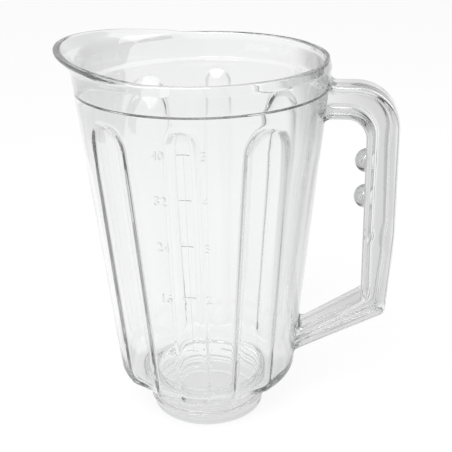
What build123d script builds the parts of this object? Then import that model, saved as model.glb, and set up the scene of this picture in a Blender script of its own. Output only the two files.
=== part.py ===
"""Clear moulded blender jar, one piece, in millimetres.

The origin is the middle of the collar's lower face, +Z is up along the jar,
+X points to the handle and -X to the spout.
"""
import os
from math import atan, cos, degrees, radians, sin, tan

from build123d import *

# Body: a round cone with a turned shoulder
rim_height = 196.8            # collar face to the top of the rim
rim_radius = 66.0             # outside of the wall at the rim
foot_radius = 47.3            # outside of the wall, carried down to the shoulder's level
wall_thickness = 2.8
shoulder_height = 20.5        # underside of the shoulder above the collar face
shoulder_drop = 1.0           # fall of the shoulder towards the collar
shoulder_round = 11.5         # outside turn from the wall into the shoulder
shoulder_steps = 5            # straight steps that make up the turn
floor_steps = 4               # the same for the turn inside
neck_bevel = 2.4              # bevel between the shoulder and the collar
rim_taper_height = 4.2        # the wall leans in over this height below the rim
rim_taper = 1.6               # how far it has leaned in at the rim
rim_round = 1.6               # outer edge of the rim
rim_steps = 2

# Lid seat inside the rim
rim_wall = 4.2                # thickness of the band above the ledge, at the rim
seat_depth = 15.4             # rim to the ledge that the lid stands on
seat_width = 1.3              # width of the ledge
seat_blend = 32.0             # height over which the wall thickens up to the ledge

# Threaded collar
collar_radius = 30.4          # root of the thread
collar_wall = 3.4             # collar round the opening for the blade unit
collar_lead_in = 1.4          # bevel on the lower edge
thread_depth = 1.6
thread_pitch = 5.08
thread_turns = 2.0
thread_start = 4.5            # middle of the thread at its lower end
thread_start_angle = 90.0     # both ends are at the back
thread_root_width = 3.0
thread_crest_width = 1.2
thread_bite = 0.6             # how far the thread is set into the collar

# Grooves pressed into the body
main_groove_angle = 39.0      # to each side of the Y axis
main_groove_half_width = 10.2
main_groove_depth = 5.0
main_groove_drop = 24.8       # rim to the top of the groove
plain_groove_half_width = 7.4
plain_groove_depth = 3.4
plain_groove_drop = 20.8

# Spout: a round lip pushed out over the rim and cut off on a slope
lip_inset = 2.6               # how much smaller the lip's circle is than the rim
lip_offset = 9.6              # how far its middle is pushed towards -X
lip_slope = 0.128             # rise of the lip's top towards -X
lip_level_at = 53.0           # in from the lip's tip to where its top meets the rim's height
lip_bevel = 1.2               # outer edge of the lip
flare_drop = 2.2              # rim down to where the outside starts to flare
flare_rise = 1.05             # rise of the outside flare for each mm out
pour_drop = 0.7               # rim down to where the inside starts to flare, a bevel all round the rim
pour_rise = 0.89              # rise of the inside flare for each mm out

# Handle, drawn in the XZ plane
handle_width = 18.0
handle_drop = 12.5            # rim to the top of the handle
handle_reach = 33.8           # rim to the back of the grip
grip_depth = 16.3             # back of the grip to its finger side
upper_arm_depth = 16.9
taper_height = 104.0          # the grip's back leans in below this height
heel_inset = 3.4              # how far it has leaned in at the heel
heel_height = 61.5
finger_foot_lift = 8.9        # heel to the bottom of the finger opening
lower_arm_slope = 27.3        # underside of the lower arm, degrees
finger_foot_slope = 32.0      # top of the lower arm, degrees
handle_corner_round = 22.0
finger_corner_round = 10.0
heel_round = 3.2
taper_round = 300.0
handle_edge_round = 2.4
back_flange = 5.2
front_flange = 3.9
web_thickness = 7.0
bump_radius = 6.3
bump_drops = (23.1, 42.4)     # top of the finger opening to the bumps
bump_set_in = 0.9             # middle of a bump inside the grip
handle_set_in = 1.3           # how far the finger opening is cut into the wall's line

# Spare lengths by which a cutter or a root passes the face that it meets
cut_overrun = 2.0
spout_root = 12.0
spout_span = 30.0
pour_reach = 22.0
handle_root = 8.0

# Sizes that follow from the values above
lean = (rim_radius - foot_radius) / (rim_height - shoulder_height)
lean_angle = degrees(atan(lean))
floor_height = shoulder_height + wall_thickness
inside_step = wall_thickness / cos(radians(lean_angle))
seat_radius = rim_radius - rim_wall
seat_height = rim_height - seat_depth
bore_radius = collar_radius - collar_wall
flare_foot = rim_height - flare_drop
pour_foot = rim_height - pour_drop
handle_top = rim_height - handle_drop
grip_outside = rim_radius + handle_reach
grip_inside = grip_outside - grip_depth
heel_x = grip_outside - heel_inset
finger_top = handle_top - upper_arm_depth
finger_foot = heel_height + finger_foot_lift


def wall_at(height):
    """Outside radius of the cone at a height."""
    return foot_radius + lean * (height - shoulder_height)


def meets_wall(x, height, rise):
    """X where a line through (x, height), with this rise for each mm out, meets the cone."""
    return (foot_radius + lean * (height - rise * x - shoulder_height)) / (1 - lean * rise)


def turn(before, corner, after, radius, steps):
    """Points on the arc that rounds a corner of an outline."""
    to_before = (Vector(*before) - Vector(*corner)).normalized()
    to_after = (Vector(*after) - Vector(*corner)).normalized()
    half_angle = radians(to_before.get_angle(to_after)) / 2
    middle = Vector(*corner) + (to_before + to_after).normalized() * (radius / sin(half_angle))
    start_arm = Vector(*corner) + to_before * (radius / tan(half_angle)) - middle
    end_arm = Vector(*corner) + to_after * (radius / tan(half_angle)) - middle
    swing = start_arm.get_signed_angle(end_arm, Vector(0, 0, 1))
    points = [middle + start_arm.rotate(Axis.Z, swing * step / steps) for step in range(steps + 1)]
    return [(point.X, point.Y) for point in points]


# Outside of the jar, filled
neck_top = shoulder_height - shoulder_drop
neck_edge = (collar_radius + neck_bevel, neck_top)
shoulder_corner = (foot_radius, shoulder_height)
taper_foot = (wall_at(rim_height - rim_taper_height), rim_height - rim_taper_height)
rim_corner = (rim_radius - rim_taper, rim_height)
with BuildPart() as outside:
    with BuildSketch(Plane.XZ):
        with BuildLine():
            Polyline(
                (0, 0),
                (collar_radius - collar_lead_in, 0),
                (collar_radius, collar_lead_in),
                (collar_radius, neck_top - neck_bevel),
                neck_edge,
                *turn(neck_edge, shoulder_corner, taper_foot, shoulder_round, shoulder_steps),
                taper_foot,
                *turn(taper_foot, rim_corner, (0, rim_height), rim_round, rim_steps),
                (0, rim_height),
                close=True,
            )
        make_face()
    revolve(axis=Axis.Z)

# Space inside, with the ledge for the lid and the flare that opens the rim and the spout
floor_round = shoulder_round - wall_thickness
floor_edge = (bore_radius, floor_height)
floor_corner = (wall_at(floor_height) - inside_step, floor_height)
blend_height = seat_height - seat_blend
blend_edge = (wall_at(blend_height) - inside_step, blend_height)
pour_top = pour_foot + pour_rise * pour_reach
with BuildPart() as space:
    with BuildSketch(Plane.XZ):
        with BuildLine():
            Polyline(
                (0, -cut_overrun),
                (bore_radius, -cut_overrun),
                floor_edge,
                *turn(floor_edge, floor_corner, blend_edge, floor_round, floor_steps),
                blend_edge,
                (seat_radius - seat_width, seat_height),
                (seat_radius, seat_height),
                (seat_radius, pour_foot),
                (seat_radius + pour_reach, pour_top),
                (0, pour_top),
                close=True,
            )
        make_face()
    revolve(axis=Axis.Z)

# Grooves: a round bar with a domed end, laid along the wall
main_bar_radius = (main_groove_half_width**2 + main_groove_depth**2) / (2 * main_groove_depth)
plain_bar_radius = (plain_groove_half_width**2 + plain_groove_depth**2) / (2 * plain_groove_depth)
out_x = cos(radians(lean_angle))
out_z = -sin(radians(lean_angle))


def domed_bar(radius):
    """A round bar that hangs down from a domed top, past the foot of the jar."""
    with BuildPart() as bar:
        with BuildSketch(Plane.XZ):
            with BuildLine():
                Polyline((0, radius), (0, -rim_height), (radius, -rim_height), (radius, 0))
                CenterArc((0, 0), radius, 0, 90)
            make_face()
        revolve(axis=Axis.Z)
    return bar.part


def bar_places(drop, half_width, stand_off, angles):
    """Where the middles of the domed ends go, one for each angle round the jar."""
    height = rim_height - drop - half_width * out_x
    middle = (wall_at(height) + stand_off * out_x, 0, height + stand_off * out_z)
    return [Location((0, 0, 0), (0, 0, angle)) * Location(middle, (0, lean_angle, 0)) for angle in angles]


main_places = bar_places(
    main_groove_drop,
    main_groove_half_width,
    main_bar_radius - main_groove_depth,
    [side + turn for side in (90, -90) for turn in (main_groove_angle, -main_groove_angle)],
)
plain_places = bar_places(
    plain_groove_drop,
    plain_groove_half_width,
    plain_bar_radius - plain_groove_depth,
    (90, -90),
)
main_bar = domed_bar(main_bar_radius)
plain_bar = domed_bar(plain_bar_radius)

# The same bars grown by the wall, so that the wall keeps its thickness behind each groove
main_core = domed_bar(main_bar_radius + wall_thickness)
plain_core = domed_bar(plain_bar_radius + wall_thickness)

# Spout, before it is hollowed
spout_foot = flare_foot - spout_root
spout_top = flare_foot + spout_span
slope_reach = rim_radius + spout_span
lip_tip = -(lip_offset + rim_radius - lip_inset)


def lip_height(x):
    """Height of the sloped top of the lip."""
    return rim_height + lip_slope * (lip_tip + lip_level_at - x)


with BuildPart() as spout:
    with BuildSketch(Plane.XY.offset(spout_foot)):
        with Locations((-lip_offset, 0)):
            Circle(rim_radius - lip_inset)
    extrude(amount=spout_top - spout_foot)
    with BuildSketch(Plane.XZ):
        with BuildLine():
            Polyline(
                (0, spout_foot),
                (wall_at(flare_foot) - spout_root / flare_rise, spout_foot),
                (wall_at(flare_foot) + spout_span / flare_rise, spout_top),
                (0, spout_top),
                close=True,
            )
        make_face()
    revolve(axis=Axis.Z, mode=Mode.INTERSECT)
    with BuildSketch(Plane.XZ):
        with BuildLine():
            Polyline(
                (-slope_reach, lip_height(-slope_reach)),
                (slope_reach, lip_height(slope_reach)),
                (slope_reach, spout_top + cut_overrun),
                (-slope_reach, spout_top + cut_overrun),
                close=True,
            )
        make_face()
    extrude(amount=slope_reach, both=True, mode=Mode.SUBTRACT)
    lip_top = spout.faces().filter_by(GeomType.PLANE).sort_by(Axis.Z)[-1]
    chamfer(lip_top.edges(), lip_bevel)

# Outline of the handle and of the finger opening, seen from the side
arm_rise = tan(radians(lower_arm_slope))
arm_foot_x = meets_wall(heel_x, heel_height, arm_rise) - handle_root
with BuildSketch() as handle_side:
    with BuildLine():
        Polyline(
            (wall_at(handle_top) - handle_root, handle_top),
            (grip_outside, handle_top),
            (grip_outside, taper_height),
            (heel_x, heel_height),
            (arm_foot_x, heel_height - arm_rise * (heel_x - arm_foot_x)),
            close=True,
        )
    make_face()
    for corner, radius in (
        ((grip_outside, handle_top), handle_corner_round),
        ((grip_outside, taper_height), taper_round),
        ((heel_x, heel_height), heel_round),
    ):
        fillet(handle_side.vertices().sort_by_distance((*corner, 0))[0], radius)

finger_rise = tan(radians(finger_foot_slope))
finger_end_x = meets_wall(grip_inside, finger_foot, finger_rise) - handle_set_in
with BuildSketch() as finger_gap:
    with BuildLine():
        Polyline(
            (wall_at(finger_top) - handle_set_in, finger_top),
            (grip_inside, finger_top),
            (grip_inside, finger_foot),
            (finger_end_x, finger_foot - finger_rise * (grip_inside - finger_end_x)),
            close=True,
        )
    make_face()
    grip_top = finger_gap.vertices().sort_by_distance((grip_inside, finger_top, 0))[0]
    fillet(grip_top, finger_corner_round)

with BuildSketch() as web_side:
    offset(handle_side.sketch, amount=-back_flange, mode=Mode.ADD)
    offset(finger_gap.sketch, amount=front_flange, mode=Mode.SUBTRACT)

# Handle: a web between two flanges, with two finger bumps
with BuildPart() as handle:
    with BuildSketch(Plane.XZ):
        add(handle_side.sketch)
        add(finger_gap.sketch, mode=Mode.SUBTRACT)
    extrude(amount=handle_width / 2, both=True)
    by_side = handle.edges().group_by(Axis.Y)
    fillet(by_side[0] + by_side[-1], handle_edge_round)
    with Locations(*[(grip_inside + bump_set_in, 0, finger_top - drop) for drop in bump_drops]):
        Sphere(bump_radius)
    for side in (1, -1):
        with BuildSketch(Plane.XZ.offset(side * web_thickness / 2)):
            add(web_side.sketch)
        extrude(amount=side * handle_width, mode=Mode.SUBTRACT)

# Thread on the collar
with BuildPart() as thread:
    with BuildLine() as thread_path:
        Helix(thread_pitch, thread_pitch * thread_turns, collar_radius, center=(0, 0, thread_start))
    path = thread_path.line
    with BuildSketch(Plane(path @ 0, x_dir=(1, 0, 0), z_dir=path % 0)):
        with BuildLine():
            Polyline(
                (-thread_bite, -thread_root_width / 2),
                (thread_depth, -thread_crest_width / 2),
                (thread_depth, thread_crest_width / 2),
                (-thread_bite, thread_root_width / 2),
                close=True,
            )
        make_face()
    sweep(path=path, is_frenet=True)

# Inside of the jar, less the grooves' backs
with BuildPart() as hollow:
    add(space.part)
    with Locations(*main_places):
        add(main_core, mode=Mode.SUBTRACT)
    with Locations(*plain_places):
        add(plain_core, mode=Mode.SUBTRACT)

# The jar, one moulding
with BuildPart() as jar:
    add(outside.part)
    add(spout.part)
    with Locations(*main_places):
        add(main_bar, mode=Mode.SUBTRACT)
    with Locations(*plain_places):
        add(plain_bar, mode=Mode.SUBTRACT)
    add(handle.part)
    with Locations(Location((0, 0, 0), (0, 0, thread_start_angle))):
        add(thread.part)
    add(hollow.part, mode=Mode.SUBTRACT)

jar.part.label = "jar"
os.makedirs("parts", exist_ok=True)
export_step(jar.part, "parts/jar.step")
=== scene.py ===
"""Looks of the clear blender jar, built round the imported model.

Sizes of the jar are in millimetres, as in the part's source, until a mesh is made. The frame is the model's
own: the origin is the middle of the collar's lower face, +Z is up, +X points to the handle, -X to the spout.
"""
from math import cos, pi, radians, sin, tan

import bmesh
import bpy
import numpy as np
from mathutils import Matrix, Vector


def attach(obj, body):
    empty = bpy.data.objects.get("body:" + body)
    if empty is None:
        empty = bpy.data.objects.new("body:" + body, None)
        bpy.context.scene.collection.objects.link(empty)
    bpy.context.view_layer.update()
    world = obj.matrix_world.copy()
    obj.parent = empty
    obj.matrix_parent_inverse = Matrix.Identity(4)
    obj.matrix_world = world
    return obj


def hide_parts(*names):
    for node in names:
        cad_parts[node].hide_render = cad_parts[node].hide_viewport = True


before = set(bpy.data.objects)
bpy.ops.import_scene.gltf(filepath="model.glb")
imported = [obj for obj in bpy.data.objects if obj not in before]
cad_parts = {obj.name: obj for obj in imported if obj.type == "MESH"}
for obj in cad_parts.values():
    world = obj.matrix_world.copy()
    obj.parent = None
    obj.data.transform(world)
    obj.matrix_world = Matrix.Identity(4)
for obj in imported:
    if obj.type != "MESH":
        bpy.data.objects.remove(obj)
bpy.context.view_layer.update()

MM = 0.001
weld = 0.001                  # points closer than this are one
touch = 0.01                  # levels and radii closer than this are the same
far_off = 1e3                 # radius that stands for a groove which a ray misses
least_reach = 0.2             # shortest reach of a rounded corner
corner_room = 0.48            # share of a run that a rounded corner may take up

# Body
rim_height = 196.8            # collar face to the top of the rim
rim_radius = 66.0             # outside of the wall at the rim
foot_radius = 47.3            # outside of the wall, carried down to the shoulder's level
wall = 2.8
shoulder_height = 20.5
shoulder_drop = 1.0           # fall of the shoulder towards the collar
shoulder_round = 11.5
neck_round = 3.0
rim_taper_height = 4.2        # the wall leans in over this height below the rim
rim_taper = 1.6               # how far it has leaned in at the rim
rim_round = 1.6
small_round = 0.5
bore_round = 1.2
floor_edge_round = 2.0

# Lid seat
rim_wall = 4.2                # thickness of the band above the seat
seat_depth = 15.4             # rim to the inner edge of the seat
seat_width = 1.6
seat_rise = 1.4               # the seat falls by this much to the inside
seat_round = 0.3
seat_blend = 32.0             # height over which the wall thickens up to the seat
blend_round = 200.0

# Collar and thread
collar_radius = 30.4          # root of the thread
collar_wall = 3.4
collar_lead_in = 1.4
thread_depth = 1.6
thread_pitch = 5.08
thread_turns = 2.0
thread_start = 4.5            # middle of the thread at its lower end
thread_start_angle = pi / 2
thread_foot_half = 2.1
thread_crest_half = 0.4
thread_run_out = radians(24)

# Grooves
main_angle = radians(39)      # to each side of the Y axis
main_half_width = 10.2
main_depth = 5.0
main_drop = 24.8              # rim to the top of the groove
main_edges = (7.0, 4.5)       # softness of a groove's edge, and of the rib inside
plain_half_width = 7.4
plain_depth = 3.4
plain_drop = 20.8
plain_edges = (0.9, 1.6)

# Spout
lip_inset = 2.6               # how much smaller the lip's circle is than the rim
lip_offset = 9.6              # how far its middle is pushed towards -X
lip_slope = 0.128             # rise of the lip's top towards -X
lip_level_at = 53.0           # in from the lip's tip to where its top meets the rim's height
lip_round = 1.3
flare_drop = 2.2              # rim down to where the outside starts to flare
flare_rise = 1.05             # rise of the outside flare for each mm out
flare_round = 12.0
flare_sink = 0.5              # the flare starts this far in from the wall, and this far down
flare_spread = 4.0            # reach of the lip over which the flare takes over from the rim's lean
lean_share = 0.4              # share of the rim's lean where an extra row stands
pour_drop = 0.7               # rim down to where the inside starts to flare
pour_rise = 0.89              # rise of the inside flare for each mm out
pour_round = 8.0

# Handle
handle_width = 18.0
handle_drop = 12.5            # rim to the top of the handle
handle_reach = 33.8           # rim to the back of the grip
grip_depth = 16.3             # back of the grip to its finger side
upper_arm_depth = 16.9
taper_height = 104.0          # the grip's back leans in below this height
taper_round = 300.0
heel_inset = 3.4              # how far it has leaned in at the heel
heel_height = 61.5
heel_round = 4.0
finger_foot_lift = 8.9        # heel to the bottom of the finger opening
finger_foot_round = 2.4
arm_rise = tan(radians(27.3))
finger_rise = tan(radians(32))
handle_corner_round = 22.0
finger_corner_round = 10.0
handle_room = 0.7             # share of a run that a rounded corner of the handle may take up
handle_edge = 2.4
finger_edge = 1.9
flange_edge = 1.0
pocket_round = 4.5
back_flange = 5.2
arm_flange = 3.2              # the back flange is thinner on the upper arm
flange_drop = 4.0             # it starts to thicken this far below the handle's top
front_flange = 3.9
web_thickness = 7.0
root_sink = 1.4               # how far the handle's ends reach into the wall
root_round = 4.5
root_shift = 0.3              # the corners of the roots lie this far off the wall's line
upper_lead = 6.0              # height of the upper root along the wall
lower_lead = 5.0              # height of the lower root along the wall
bump_radius = 6.3
bump_drops = (23.1, 42.4)     # top of the finger opening to the bumps
bump_set_in = 0.9             # middle of a bump inside the grip
bump_back = 3.0               # the bumps end this far inside the grip

# Volume marks on the front
mark_heights = (163.7, 140.6, 116.1, 87.4, 55.9)
left_figures = ("40", "32", "24", "16", "8")
right_figures = ("5", "4", "3", "2", "1")
figure_size = 6.6
figure_gap = 8.3              # middle of the scale to the figures
figure_half = 0.5             # half depth of a flat figure, which only tells its front from its back
tick_length = 6.4
tick_height = 0.8
foot_share = 0.5              # half width of a raised line's foot, as a share of its width
crest_share = 0.3             # the same for its crest
mark_raise = 0.45
mark_sink = 0.25
line_raise = 0.3

# Rows of the body's mesh, as first height, last height and number: close together at the grooves' domes
wall_rows = (37.0, 148.0, 18)
dome_rows = (151.0, 181.0, 34)
band_row = 184.5
inner_dome_rows = (178.0, 152.0, 26)
inner_wall_rows = (143.0, 37.0, 18)
wall_run = (31.3, 189.5)      # straight run of the wall that holds its rows
inner_dome_run = (180.9, 150.0)
inner_wall_run = (148.5, 31.2)

# Columns of the body's mesh: close together at the edges of the grooves
half_shares = np.array((0, 0.25, 0.5, 0.7, 0.83, 0.91, 0.97, 1.03, 1.09, 1.17, 1.3))
groove_shares = np.concatenate((-half_shares[:0:-1], half_shares))
front_gap_columns = 7
side_gap_columns = 36
low_warp, high_warp = 34.0, 160.0   # the columns follow the grooves between these heights

# Points of the small pieces
bump_segments = 40
bump_rings = 24
figure_steps = 6
tick_columns = 11
line_rows = 40
sharp_angle = 40              # edges that turn by more degrees than this stay sharp

# Plastic
plastic_tint = (0.996, 0.998, 1, 1)
plastic_bend = 1.57           # index of refraction
haze_scale = 60.0
haze_detail = 3.0
haze_most = 0.012             # roughness where the finish is least even
wave_scale = 45.0
wave_detail = 1.0
wave_strength = 0.02
wave_height = 0.001
depth_tint = (0.5, 0.505, 0.51, 1)
thick_shade = 8.0             # how much thick parts darken

# Floor, in metres. The tones below are how pale the floor glows through the plastic; the darker ones are
# painted shade.
floor_size = 8.0
floor_gap = 0.0002            # keeps the floor clear of the collar's face
floor_colour = (0.92, 0.92, 0.92, 1)
floor_glow = 0.88
floor_shine = 1.0             # how pale it looks in a reflection
# Painted shade: in front of and under the jar the floor glows darker through the plastic than behind it.
near_shade_tone = 0.78
far_floor_tone = 0.97
near_shade_step = (0.04, 0.05)     # depth over which near changes to far
# Painted shade: to the right, under the handle, the floor glows darker through the plastic.
right_shade_tone = 0.66
right_fade = (0.0, 0.11)
far_right_fade = (0.125, 0.2)
# Painted shade: a grey zone at the left, with a soft straight edge.
left_shade_tone = 0.84
left_shade_edge = -0.0574          # edge of the painted shade at the left
left_shade_slope = 0.241
left_shade_blur = 0.004
left_shade_end = (0.56, 0.6)
near_left_shade_tone = 0.72            # painted shade at the near left, beside the paler floor
near_left_shade_slope = 1.25
near_left_shade_fade = (-0.19, -0.09)
near_left_shade_end = (-0.11, -0.04)

# Room round the jar: brightness by direction, for rays that the plastic bends
room_left = 0.34
room_right = 0.06
room_side_fade = (-0.6, 0.3)
room_top = 0.8
room_top_fade = (0.35, 0.8)
room_back = 0.75
room_back_fade = (0.3, 0.8)
room_back_end = (0.25, 0.6)
room_light = 0.6

# Lamps, in metres and watts
lamp_aim = (0, 0, 0.1)
key_place = (-0.2, -0.75, 0.95)
key_power = 14.0
fill_place = (0.8, -0.2, 0.8)
fill_power = 5.0
soft_size = 0.8
strip_angles = {"strip_left": -150, "strip_front": -110, "strip_right": -35}
strip_distance = 0.8
strip_level = 0.3
strip_width = 0.14
strip_height = 0.6
strip_power = 0.35
most_bounces = 120
clear_bounces = 110

# Camera, solved from the photograph's outlines
camera_azimuth = radians(9.0)
camera_distance = 492.6
camera_height = 303.9
camera_pitch = 0.384
camera_yaw = 0.023
camera_roll = -0.016
camera_lens = 79.3
camera_sensor = 36.0
camera_clip = 0.01

# Sizes that follow from the values above
lean = (rim_radius - foot_radius) / (rim_height - shoulder_height)
slant = (1 + lean**2) ** 0.5
inside_step = wall * slant
floor_height = shoulder_height + wall
seat_radius = rim_radius - rim_wall
seat_height = rim_height - seat_depth
blend_height = seat_height - seat_blend
bore_radius = collar_radius - collar_wall
lip_radius = rim_radius - lip_inset
lip_level_x = lip_level_at - lip_offset - lip_radius
flare_foot = rim_height - flare_drop
pour_foot = rim_height - pour_drop
handle_top = rim_height - handle_drop
grip_outside = rim_radius + handle_reach
grip_inside = grip_outside - grip_depth
heel_x = grip_outside - heel_inset
finger_top = handle_top - upper_arm_depth
finger_foot = heel_height + finger_foot_lift


def wall_at(height):
    """Outside radius of the plain cone at a height."""
    return foot_radius + lean * (height - shoulder_height)


def meets_wall(x, height, rise):
    """X and height where a line through a point, with this rise for each mm out, meets the cone."""
    wall_x = (foot_radius + lean * (height - rise * x - shoulder_height)) / (1 - lean * rise)
    return wall_x, height - rise * (x - wall_x)


def slope_height(x):
    """Height of the sloped top of the lip."""
    return rim_height + lip_slope * (lip_level_x - x)


def point(radius, height):
    """Radius and height as one array, widened to any shape that comes in."""
    return np.stack(np.broadcast_arrays(np.asarray(radius, float), np.asarray(height, float)), -1)


def soften(before, corner, after, radius, steps, room_share):
    """Rows of points round a corner: an arc where it fits, and a plain run where the corner is straight."""
    to_before, to_after = before - corner, after - corner
    length_before = np.linalg.norm(to_before, axis=-1, keepdims=True)
    length_after = np.linalg.norm(to_after, axis=-1, keepdims=True)
    to_before, to_after = to_before / length_before, to_after / length_after
    turn = np.clip((to_before * to_after).sum(-1, keepdims=True), -1, 0.999999)
    half = np.arccos(turn) / 2
    room = room_share * np.minimum(length_before, length_after)
    radius = np.broadcast_to(radius, corner.shape[:-1])[..., None]
    reach = np.minimum(np.maximum(radius / np.tan(half), least_reach), room)
    start, end, weight = corner + to_before * reach, corner + to_after * reach, np.sin(half)
    rows = []
    for share in np.linspace(0, 1, steps + 1):
        first, middle, last = (1 - share) ** 2, 2 * share * (1 - share) * weight, share**2
        rows.append((first * start + middle * corner + last * end) / (first + middle + last))
    return rows


def outline(corners, closed=True, room_share=corner_room):
    """Rows of points along an outline.

    Each corner is its point, its radius, the steps of its round and the shares of the run that follows.
    """
    arcs = []
    count = len(corners)
    for index, (corner, radius, steps, _) in enumerate(corners):
        if not closed and index in (0, count - 1):
            arcs.append([corner])
            continue
        before, after = corners[index - 1][0], corners[(index + 1) % count][0]
        arcs.append(soften(before, corner, after, radius, steps, room_share))
    rows = []
    for index, arc in enumerate(arcs):
        rows += arc
        if not closed and index == count - 1:
            break
        start, end = arc[-1], arcs[(index + 1) % count][0]
        rows += [start + share * (end - start) for share in corners[index][3]]
    return np.array(rows)


def even(count):
    """Shares of a run for that many points between its ends."""
    return np.linspace(0, 1, count + 2)[1:-1]


def between(heights, low, high):
    """Shares of a run from one height to another that put points at given heights."""
    return (np.asarray(heights) - low) / (high - low)


def soft_min(first, second, softness):
    """The smaller of two radii, with a rounded change from one to the other."""
    overlap = np.maximum(softness - np.abs(first - second), 0) / softness
    return np.minimum(first, second) - overlap**2 * softness / 4


class Groove:
    """A round bar with a domed top, laid into the wall."""

    def __init__(self, angle, half_width, depth, drop, edges):
        self.angle = angle
        self.edges = edges
        self.bar = (half_width**2 + depth**2) / (2 * depth)
        self.stand_off = self.bar - depth
        shoulder = rim_height - drop - half_width / slant
        self.dome_height = shoulder - self.stand_off * lean / slant
        self.dome_radius = wall_at(shoulder) + self.stand_off / slant

    def floor(self, angles, heights, grown):
        """Radius of the bar's near side, or a large value where the ray misses it."""
        rise = heights - self.dome_height
        middle = self.dome_radius + lean * np.minimum(rise, 0)
        bar = self.bar + grown
        reach = bar**2 - np.maximum(rise, 0) ** 2
        turn = (angles - self.angle + pi) % (2 * pi) - pi
        inner = reach - (middle * np.sin(turn)) ** 2
        near = middle * np.cos(turn) - np.sqrt(np.maximum(inner, 0))
        return np.where((inner > 0) & (np.cos(turn) > 0), near, far_off)

    def half_angle(self, heights, grown):
        """Half of the angle that the groove takes up at a height."""
        bar = self.bar + grown
        half = (bar**2 - (self.stand_off + grown) ** 2) ** 0.5
        return np.arcsin(half / (wall_at(heights) - grown))


def main_groove(angle):
    """One of the four wide grooves."""
    return Groove(angle, main_half_width, main_depth, main_drop, main_edges)


def plain_groove(angle):
    """One of the two narrow grooves, at the front and the back."""
    return Groove(angle, plain_half_width, plain_depth, plain_drop, plain_edges)


grooves = []
for side in (-pi / 2, pi / 2):
    grooves += [main_groove(side - main_angle), plain_groove(side), main_groove(side + main_angle)]


def column_angles(height, grown):
    """Angles of all columns at a height, following the edges of the grooves."""
    level = np.clip(height, low_warp, high_warp)
    zones = [groove.angle + groove_shares * groove.half_angle(level, grown) for groove in grooves]
    angles = []
    for index, zone in enumerate(zones):
        following = zones[(index + 1) % len(zones)][0]
        if index == len(zones) - 1:
            following += 2 * pi
        gap = side_gap_columns if index % 3 == 2 else front_gap_columns
        angles += [*zone, *(zone[-1] + even(gap) * (following - zone[-1]))]
    return np.array(angles)


def thread_ridge(angles, heights):
    """How far the thread stands out of the collar."""
    turn = ((angles - thread_start_angle) % (2 * pi)) / (2 * pi)
    ridge = np.zeros(np.broadcast(angles, heights).shape)
    for lap in range(int(thread_turns)):
        along = turn + lap
        off_middle = np.abs(heights - thread_start - along * thread_pitch)
        flank = np.clip((thread_foot_half - off_middle) / (thread_foot_half - thread_crest_half), 0, 1)
        from_end = np.minimum(along, thread_turns - along) * 2 * pi
        run_out = np.clip(from_end / thread_run_out, 0, 1)
        ridge = np.maximum(ridge, flank * flank * (3 - 2 * flank) * run_out)
    return ridge * thread_depth


def body_rows():
    """Radius and height of the whole section, for every column, and where its outside ends."""
    angles = column_angles(rim_height, 0.0)
    lip = -lip_offset * np.cos(angles) + np.sqrt(lip_radius**2 - (lip_offset * np.sin(angles)) ** 2)
    ones = np.ones_like(angles)

    def lip_top(radius):
        """Height of the rim or the lip, whichever is higher."""
        return np.maximum(rim_height, slope_height(radius * np.cos(angles)))

    taper_start = rim_height - rim_taper_height
    taper_foot = point(wall_at(taper_start) * ones, taper_start)
    edge = np.maximum(lip, rim_radius - rim_taper)
    rim = point(edge, lip_top(edge))
    reach = np.maximum(lip - wall_at(flare_foot), 0)
    spread = np.clip(reach / flare_spread, 0, 1)
    flare_start = point(wall_at(flare_foot) * ones - flare_sink, flare_foot - flare_sink)
    flare_end = point(wall_at(flare_foot) + reach, flare_foot + flare_rise * reach)
    part_way = taper_foot + lean_share * (rim - taper_foot)
    flare_start = taper_foot + spread[:, None] * (flare_start - taper_foot)
    flare_end = part_way + spread[:, None] * (flare_end - part_way)

    level = slope_height(seat_radius * np.cos(angles))
    pour = (level - pour_foot) / (pour_rise + lip_slope * np.cos(angles))
    inner_edge = seat_radius + np.maximum(pour, (rim_height - pour_foot) / pour_rise)

    neck = shoulder_height - shoulder_drop
    inner_blend = wall_at(blend_height) - inside_step
    inner_foot = wall_at(floor_height) - inside_step
    wall_levels = np.concatenate((np.linspace(*wall_rows), np.linspace(*dome_rows), (band_row,)))
    wall_shares = between(wall_levels, *wall_run)
    inner_dome_shares = between(np.linspace(*inner_dome_rows), *inner_dome_run)
    inner_wall_shares = between(np.linspace(*inner_wall_rows), *inner_wall_run)
    corners = [
        (point(bore_radius * ones, 0), bore_round, 5, even(1)),
        (point((collar_radius - collar_lead_in) * ones, 0), small_round, 2, even(0)),
        (point(collar_radius * ones, collar_lead_in), small_round, 2, even(44)),
        (point(collar_radius * ones, neck), neck_round, 6, even(5)),
        (point(foot_radius * ones, shoulder_height), shoulder_round, 16, wall_shares),
        (flare_start, flare_round, 6, even(2)),
        (flare_end, lip_round, 4, even(3)),
        (rim, rim_round + (lip_round - rim_round) * spread, 8, even(2)),
        (point(inner_edge, lip_top(inner_edge)), small_round, 5, even(3)),
        (point(seat_radius * ones, pour_foot), pour_round, 5, even(7)),
        (point(seat_radius * ones, seat_height + seat_rise), seat_round, 3, even(1)),
        (point((seat_radius - seat_width) * ones, seat_height), seat_round, 4, inner_dome_shares),
        (point(inner_blend * ones, blend_height), blend_round, 3, inner_wall_shares),
        (point(inner_foot * ones, floor_height), shoulder_round - wall, 11, even(4)),
        (point(bore_radius * ones, floor_height), floor_edge_round, 6, even(7)),
    ]
    rows = outline(corners)
    outside_end = next(i for i, row in enumerate(rows) if row[:, 1].min() >= rim_height - touch)
    return rows, outside_end


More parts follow.
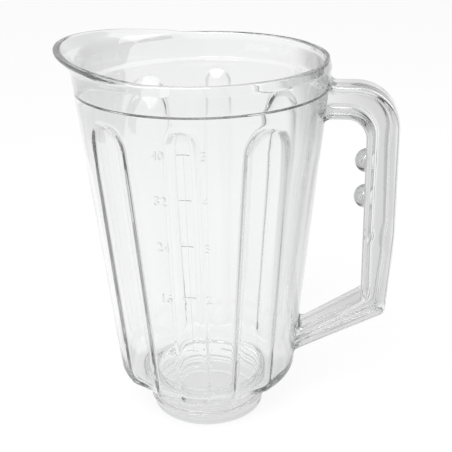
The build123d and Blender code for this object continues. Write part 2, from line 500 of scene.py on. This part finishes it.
def mesh_object(name, vertices, faces):
    """A new object from points in millimetres."""
    mesh = bpy.data.meshes.new(name)
    mesh.from_pydata((np.asarray(vertices) * MM).tolist(), [], [list(map(int, face)) for face in faces])
    mesh.validate()
    work = bmesh.new()
    work.from_mesh(mesh)
    bmesh.ops.remove_doubles(work, verts=work.verts, dist=weld * MM)
    bmesh.ops.recalc_face_normals(work, faces=work.faces)
    work.to_mesh(mesh)
    work.free()
    piece = bpy.data.objects.new(name, mesh)
    bpy.context.scene.collection.objects.link(piece)
    return piece


def grid_faces(rows, columns, wrap_rows, wrap_columns):
    """Quads over a grid of points."""
    faces = []
    for row in range(rows if wrap_rows else rows - 1):
        for column in range(columns if wrap_columns else columns - 1):
            next_row, next_column = (row + 1) % rows, (column + 1) % columns
            faces.append(
                (
                    row * columns + column,
                    row * columns + next_column,
                    next_row * columns + next_column,
                    next_row * columns + column,
                )
            )
    return faces


def outside_radius(radius, angles, heights):
    """Radius of the outside with its grooves."""
    for groove in grooves:
        radius = soft_min(radius, groove.floor(angles, heights, 0.0), groove.edges[0])
    return radius


def inside_radius(radius, angles, heights):
    """Radius of the inside with the backs of the grooves."""
    for groove in grooves:
        radius = soft_min(radius, groove.floor(angles, heights, wall), groove.edges[1])
    return radius


def make_body():
    """The jar without its handle, one closed skin."""
    rows, outside_end = body_rows()
    points = []
    for index, row in enumerate(rows):
        radius, height = row[:, 0], row[:, 1]
        outside = index < outside_end
        angles = column_angles(height.mean(), 0.0 if outside else wall)
        if outside:
            radius = outside_radius(radius, angles, height)
            on_collar = (radius < collar_radius + touch) & (height > collar_lead_in)
            radius = radius + np.where(on_collar, thread_ridge(angles, height), 0)
        else:
            radius = inside_radius(radius, angles, height)
        points.append(np.stack((radius * np.cos(angles), radius * np.sin(angles), height), -1))
    points = np.array(points)
    faces = grid_faces(points.shape[0], points.shape[1], True, True)
    return mesh_object("jar_body", points.reshape(-1, 3), faces)


def in_wall(height):
    """A point of a handle's end, sunk into the wall."""
    return wall_at(height) - root_sink, height


def handle_paths():
    """Back and finger side of the handle, as matching points in the XZ plane."""
    arm_x, arm_height = meets_wall(heel_x, heel_height, arm_rise)
    gap_x, gap_height = meets_wall(grip_inside, finger_foot, finger_rise)
    back = [
        (in_wall(handle_top + upper_lead), 0, 0, even(1)),
        ((wall_at(handle_top) - root_shift, handle_top), root_round, 6, even(5)),
        ((grip_outside, handle_top), handle_corner_round, 40, even(6)),
        ((grip_outside, taper_height), taper_round, 10, even(9)),
        ((heel_x, heel_height), heel_round, 14, even(7)),
        ((arm_x + root_shift, arm_height + root_shift * arm_rise), root_round, 6, even(1)),
        (in_wall(arm_height - lower_lead), 0, 0, even(0)),
    ]
    front = [
        (in_wall(finger_top - upper_lead), 0, 0, even(1)),
        ((wall_at(finger_top) - root_shift, finger_top), root_round, 6, even(5)),
        ((grip_inside, finger_top), finger_corner_round, 40, even(6)),
        ((grip_inside, taper_height), taper_round, 10, even(9)),
        ((grip_inside, finger_foot), finger_foot_round, 14, even(7)),
        ((gap_x + root_shift, gap_height + root_shift * finger_rise), root_round, 6, even(1)),
        (in_wall(gap_height + lower_lead), 0, 0, even(0)),
    ]
    paths = []
    for corners in (back, front):
        corners = [(np.array([corner], float), radius, steps, run) for corner, radius, steps, run in corners]
        paths.append(outline(corners, closed=False, room_share=handle_room)[:, 0])
    return paths


def make_handle():
    """The handle: flanges and a web, swept round the finger opening."""
    back, front = handle_paths()
    across = front - back
    depth = np.linalg.norm(across, axis=1)
    ones = np.ones_like(depth)
    half = handle_width / 2 * ones
    web = web_thickness / 2 * ones
    on_grip = np.clip((handle_top - flange_drop - back[:, 1]) / handle_corner_round, 0, 1)
    near, far = arm_flange + (back_flange - arm_flange) * on_grip, depth - front_flange
    ring = [
        (point(0 * ones, -half), handle_edge, 10, even(3)),
        (point(0 * ones, half), handle_edge, 10, even(1)),
        (point(near, half), flange_edge, 6, even(1)),
        (point(near, web), pocket_round, 10, even(2)),
        (point(far, web), pocket_round, 10, even(1)),
        (point(far, half), flange_edge, 6, even(0)),
        (point(depth, half), finger_edge, 10, even(3)),
        (point(depth, -half), finger_edge, 10, even(0)),
        (point(far, -half), flange_edge, 6, even(1)),
        (point(far, -web), pocket_round, 10, even(2)),
        (point(near, -web), pocket_round, 10, even(1)),
        (point(near, -half), flange_edge, 6, even(1)),
    ]
    section = outline(ring)
    unit = across / depth[:, None]
    points = []
    for row in section:
        place = back + unit * row[:, :1]
        points.append(np.stack((place[:, 0], row[:, 1], place[:, 1]), -1))
    points = np.array(points).transpose(1, 0, 2)
    stations, around = points.shape[:2]
    faces = grid_faces(stations, around, False, True)
    faces.append(range(around))
    faces.append(range((stations - 1) * around, stations * around))
    return mesh_object("jar_handle", points.reshape(-1, 3), faces)


def make_bump(drop):
    """A round finger bump, cut flat inside the grip."""
    work = bmesh.new()
    bmesh.ops.create_uvsphere(work, u_segments=bump_segments, v_segments=bump_rings, radius=bump_radius * MM)
    middle = Vector((grip_inside + bump_set_in, 0, finger_top - drop)) * MM
    bmesh.ops.translate(work, verts=work.verts, vec=middle)
    cut = bmesh.ops.bisect_plane(
        work,
        geom=work.verts[:] + work.edges[:] + work.faces[:],
        plane_co=Vector((grip_inside + bump_back, 0, 0)) * MM,
        plane_no=(1, 0, 0),
        clear_outer=True,
    )
    edges = [item for item in cut["geom_cut"] if isinstance(item, bmesh.types.BMEdge)]
    bmesh.ops.contextual_create(work, geom=edges)
    mesh = bpy.data.meshes.new("finger_bump")
    work.to_mesh(mesh)
    work.free()
    piece = bpy.data.objects.new("finger_bump", mesh)
    bpy.context.scene.collection.objects.link(piece)
    return piece


def join_skins(base, others):
    """One closed skin from several that overlap."""
    for other in others:
        union = base.modifiers.new("join", "BOOLEAN")
        union.operation = "UNION"
        union.solver = "EXACT"
        union.object = other
    seen = base.evaluated_get(bpy.context.evaluated_depsgraph_get())
    mesh = bpy.data.meshes.new_from_object(seen)
    base.modifiers.clear()
    base.data = mesh
    for other in others:
        bpy.data.objects.remove(other)
    return base


def lay_on_wall(across, up, out):
    """A point of a mark, given across and up the front of the jar and out from its surface."""
    angle = -pi / 2 + across / wall_at(up)
    radius = outside_radius(wall_at(up), np.array(angle), np.array(up)) + out
    return radius * cos(angle), radius * sin(angle), up


def figure_points(text, align, across, up):
    """Points and faces of a raised figure, laid on the front of the jar."""
    curve = bpy.data.curves.new("figure", "FONT")
    curve.body = text
    curve.size = figure_size
    curve.align_x = align
    curve.align_y = "CENTER"
    curve.extrude = figure_half
    curve.resolution_u = figure_steps
    holder = bpy.data.objects.new("figure", curve)
    bpy.context.scene.collection.objects.link(holder)
    seen = holder.evaluated_get(bpy.context.evaluated_depsgraph_get())
    mesh = bpy.data.meshes.new_from_object(seen)
    points = []
    for vertex in mesh.vertices:
        out = mark_raise if vertex.co.z > 0 else -mark_sink
        points.append(lay_on_wall(across + vertex.co.x, up + vertex.co.y, out))
    faces = [tuple(face.vertices) for face in mesh.polygons]
    bpy.data.objects.remove(holder)
    return points, faces


def ridge_section(height):
    """Corners of a raised line: how far across it, as shares of its width, and how far out."""
    return (-foot_share, -mark_sink), (foot_share, -mark_sink), (crest_share, height), (-crest_share, height)


def ridge_faces(count):
    """Faces of a raised line with that many sections and closed ends."""
    return grid_faces(count, 4, False, True) + [(0, 1, 2, 3), tuple(range(4 * count - 4, 4 * count))]


def tick_points(up):
    """Points and faces of a raised tick on the middle of the front."""
    points = []
    for across in np.linspace(-tick_length / 2, tick_length / 2, tick_columns):
        for share, out in ridge_section(mark_raise):
            points.append(lay_on_wall(across, up + share * tick_height, out))
    return points, ridge_faces(tick_columns)


def line_points():
    """Points and faces of the upright line that the ticks stand on."""
    points = []
    for up in np.linspace(mark_heights[-1], mark_heights[0], line_rows):
        for share, out in ridge_section(line_raise):
            points.append(lay_on_wall(share * tick_height, up, out))
    return points, ridge_faces(line_rows)


def make_marks():
    """Volume marks on the front: an upright line with a tick and two plain figures at each level."""
    marks = [mesh_object("scale_line", *line_points())]
    for height, left, right in zip(mark_heights, left_figures, right_figures):
        marks.append(mesh_object("tick", *tick_points(height)))
        marks.append(mesh_object("figure", *figure_points(left, "RIGHT", -figure_gap, height)))
        marks.append(mesh_object("figure", *figure_points(right, "LEFT", figure_gap, height)))
    return marks


def clear_plastic():
    """Clear moulded plastic: a faint waviness, a finish that is not quite even, and darker thick parts."""
    material = bpy.data.materials.new("clear_plastic")
    material.use_nodes = True
    nodes, links = material.node_tree.nodes, material.node_tree.links
    shader = nodes["Principled BSDF"]
    shader.inputs["Base Color"].default_value = plastic_tint
    shader.inputs["Transmission Weight"].default_value = 1.0
    shader.inputs["IOR"].default_value = plastic_bend
    place = nodes.new("ShaderNodeTexCoord")
    haze = nodes.new("ShaderNodeTexNoise")
    haze.inputs["Scale"].default_value = haze_scale
    haze.inputs["Detail"].default_value = haze_detail
    finish = nodes.new("ShaderNodeMapRange")
    finish.inputs["To Min"].default_value = 0.0
    finish.inputs["To Max"].default_value = haze_most
    links.new(place.outputs["Object"], haze.inputs["Vector"])
    links.new(haze.outputs["Fac"], finish.inputs["Value"])
    links.new(finish.outputs["Result"], shader.inputs["Roughness"])
    wave = nodes.new("ShaderNodeTexNoise")
    wave.inputs["Scale"].default_value = wave_scale
    wave.inputs["Detail"].default_value = wave_detail
    bump = nodes.new("ShaderNodeBump")
    bump.inputs["Strength"].default_value = wave_strength
    bump.inputs["Distance"].default_value = wave_height
    links.new(place.outputs["Object"], wave.inputs["Vector"])
    links.new(wave.outputs["Fac"], bump.inputs["Height"])
    links.new(bump.outputs["Normal"], shader.inputs["Normal"])
    depth = nodes.new("ShaderNodeVolumeAbsorption")
    depth.inputs["Color"].default_value = depth_tint
    depth.inputs["Density"].default_value = thick_shade
    links.new(depth.outputs["Volume"], nodes["Material Output"].inputs["Volume"])
    return material


def dress(piece, material, sharp):
    """Material, smooth shading, and the body that the piece rides on."""
    piece.data.materials.clear()
    piece.data.materials.append(material)
    piece.data.shade_smooth()
    piece.data.set_sharp_from_angle(angle=radians(sharp))
    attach(piece, "root")


def calc(tree, operation, *values):
    """A math node fed by sockets and plain numbers."""
    node = tree.nodes.new("ShaderNodeMath")
    node.operation = operation
    for socket, value in zip(node.inputs, values):
        if isinstance(value, (int, float)):
            socket.default_value = value
        else:
            tree.links.new(value, socket)
    return node.outputs[0]


def fade(tree, value, start, end, before, after):
    """A soft change from one number to another while a value goes from start to end."""
    node = tree.nodes.new("ShaderNodeMapRange")
    node.interpolation_type = "SMOOTHSTEP"
    for name, number in (("From Min", start), ("From Max", end), ("To Min", before), ("To Max", after)):
        node.inputs[name].default_value = number
    tree.links.new(value, node.inputs["Value"])
    return node.outputs["Result"]


def coordinates(tree, kind):
    """The separate coordinates of a texture space."""
    place = tree.nodes.new("ShaderNodeTexCoord")
    parts = tree.nodes.new("ShaderNodeSeparateXYZ")
    tree.links.new(place.outputs[kind], parts.inputs[0])
    return parts.outputs


def floor_tone_with_painted_shade(tree):
    """How pale each place of the floor glows through the plastic: near white, with painted shade near the
    jar, to the right and at the left.
    """
    x, y, _ = coordinates(tree, "Object")
    # painted shade in front of and under the jar
    depth = fade(tree, y, *near_shade_step, near_shade_tone, far_floor_tone)
    # painted shade to the right, under the handle
    right = fade(tree, x, *right_fade, 1.0, right_shade_tone)
    right = calc(tree, "MULTIPLY", right, fade(tree, x, *far_right_fade, 1.0, right_shade_tone))
    # painted shade at the left
    edge = calc(tree, "ADD", x, calc(tree, "MULTIPLY", y, left_shade_slope))
    left = fade(tree, edge, left_shade_edge - left_shade_blur, left_shade_edge + left_shade_blur, left_shade_tone, 1.0)
    left = calc(tree, "MAXIMUM", left, fade(tree, y, *left_shade_end, 1.0, 0.0))
    # painted shade at the near left
    near_left_shade_line = calc(tree, "ADD", y, calc(tree, "MULTIPLY", x, near_left_shade_slope))
    near_left_shade = fade(tree, near_left_shade_line, *near_left_shade_fade, near_left_shade_tone, 1.0)
    near_left_shade = calc(tree, "MAXIMUM", near_left_shade, fade(tree, x, *near_left_shade_end, 0.0, 1.0))
    return calc(tree, "MULTIPLY", calc(tree, "MULTIPLY", depth, right), calc(tree, "MULTIPLY", left, near_left_shade))


def make_floor():
    """A floor that is white to the camera and keeps a soft shadow; through the plastic it glows pale grey,
    with painted shade in patches.
    """
    bpy.ops.mesh.primitive_plane_add(size=floor_size, location=(0, 0, -floor_gap))
    floor = bpy.context.object
    floor.name = "floor"
    material = bpy.data.materials.new("floor")
    material.use_nodes = True
    tree = material.node_tree
    tree.nodes.clear()
    path = tree.nodes.new("ShaderNodeLightPath")
    direct, through = path.outputs["Is Camera Ray"], path.outputs["Is Transmission Ray"]
    bent = calc(tree, "MAXIMUM", path.outputs["Is Glossy Ray"], through)
    mirrored = calc(tree, "SUBTRACT", bent, through)
    # through the plastic the floor glows with its tone map, painted shade included
    behind = calc(tree, "MULTIPLY", through, floor_tone_with_painted_shade(tree))
    seen = calc(tree, "ADD", behind, calc(tree, "MULTIPLY", mirrored, floor_shine))
    glow = tree.nodes.new("ShaderNodeEmission")
    tree.links.new(calc(tree, "ADD", direct, seen), glow.inputs["Strength"])
    plain = tree.nodes.new("ShaderNodeBsdfDiffuse")
    plain.inputs["Color"].default_value = floor_colour
    mix = tree.nodes.new("ShaderNodeMixShader")
    tree.links.new(calc(tree, "MULTIPLY", calc(tree, "MAXIMUM", direct, bent), floor_glow), mix.inputs["Fac"])
    tree.links.new(plain.outputs["BSDF"], mix.inputs[1])
    tree.links.new(glow.outputs["Emission"], mix.inputs[2])
    output = tree.nodes.new("ShaderNodeOutputMaterial")
    tree.links.new(mix.outputs["Shader"], output.inputs["Surface"])
    floor.data.materials.append(material)


def make_world():
    """White to the camera; for bent rays a dim room with a pale ceiling, which draws the jar's edges."""
    world = bpy.data.worlds.new("studio")
    bpy.context.scene.world = world
    world.use_nodes = True
    tree = world.node_tree
    tree.nodes.clear()
    right, ahead, up = coordinates(tree, "Generated")
    side = fade(tree, right, *room_side_fade, room_left, room_right)
    ceiling = fade(tree, up, *room_top_fade, 0.0, room_top)
    wall_ahead = fade(tree, ahead, *room_back_fade, 0.0, room_back)
    wall_ahead = calc(tree, "MULTIPLY", wall_ahead, fade(tree, right, *room_back_end, 1.0, 0.0))
    room = calc(tree, "MAXIMUM", calc(tree, "MAXIMUM", side, ceiling), wall_ahead)
    path = tree.nodes.new("ShaderNodeLightPath")
    direct = path.outputs["Is Camera Ray"]
    bent = calc(tree, "MAXIMUM", path.outputs["Is Glossy Ray"], path.outputs["Is Transmission Ray"])
    soft = calc(tree, "SUBTRACT", 1.0, calc(tree, "MAXIMUM", direct, bent))
    level = calc(tree, "ADD", direct, calc(tree, "MULTIPLY", bent, room))
    level = calc(tree, "ADD", level, calc(tree, "MULTIPLY", soft, room_light))
    background = tree.nodes.new("ShaderNodeBackground")
    background.inputs["Color"].default_value = (1, 1, 1, 1)
    tree.links.new(level, background.inputs["Strength"])
    output = tree.nodes.new("ShaderNodeOutputWorld")
    tree.links.new(background.outputs["Background"], output.inputs["Surface"])


def make_lamp(name, place, width, height, power):
    """A soft lamp that points at the jar."""
    light = bpy.data.lights.new(name, "AREA")
    light.shape = "RECTANGLE"
    light.size = width
    light.size_y = height
    light.energy = power
    lamp = bpy.data.objects.new(name, light)
    lamp.location = place
    lamp.rotation_euler = (Vector(lamp_aim) - Vector(place)).to_track_quat("-Z", "Y").to_euler()
    lamp.visible_transmission = False
    bpy.context.scene.collection.objects.link(lamp)


def make_lamps():
    """A key lamp, a fill lamp and three upright strips that show as lines of light in the plastic."""
    make_lamp("key", key_place, soft_size, soft_size, key_power)
    make_lamp("fill", fill_place, soft_size, soft_size, fill_power)
    for name, angle in strip_angles.items():
        turn = radians(angle)
        place = (strip_distance * cos(turn), strip_distance * sin(turn), strip_level)
        make_lamp(name, place, strip_width, strip_height, strip_power)


def make_camera():
    """The camera at the photograph's viewing angle."""
    data = bpy.data.cameras.new("camera")
    data.lens = camera_lens
    data.sensor_width = camera_sensor
    data.clip_start = camera_clip
    camera = bpy.data.objects.new("camera", data)
    turn = Matrix.Rotation(camera_azimuth, 3, "Z")
    tilt = sin(camera_pitch)
    right = turn @ Vector((cos(camera_yaw), -sin(camera_yaw), 0))
    up = turn @ Vector((tilt * sin(camera_yaw), tilt * cos(camera_yaw), cos(camera_pitch)))
    back = right.cross(up)
    rolled_right = cos(camera_roll) * right + sin(camera_roll) * up
    rolled_up = -sin(camera_roll) * right + cos(camera_roll) * up
    place = turn @ Vector((0, -camera_distance, camera_height)) * MM
    facing = Matrix((rolled_right, rolled_up, back)).transposed().to_4x4()
    camera.matrix_world = Matrix.Translation(place) @ facing
    bpy.context.scene.collection.objects.link(camera)
    bpy.context.scene.camera = camera


def set_render():
    """Plain colours, and enough bounces for light to leave the clear plastic."""
    bpy.context.scene.view_settings.view_transform = "Standard"
    light_paths = bpy.context.scene.cycles
    light_paths.max_bounces = most_bounces
    light_paths.glossy_bounces = clear_bounces
    light_paths.transmission_bounces = clear_bounces


plastic = clear_plastic()
jar = make_body()
jar = join_skins(jar, [make_handle(), *[make_bump(drop) for drop in bump_drops], *make_marks()])
jar.name = "jar_skin"
dress(jar, plastic, sharp_angle)
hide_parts("jar")

make_floor()
make_world()
make_lamps()
make_camera()
set_render()
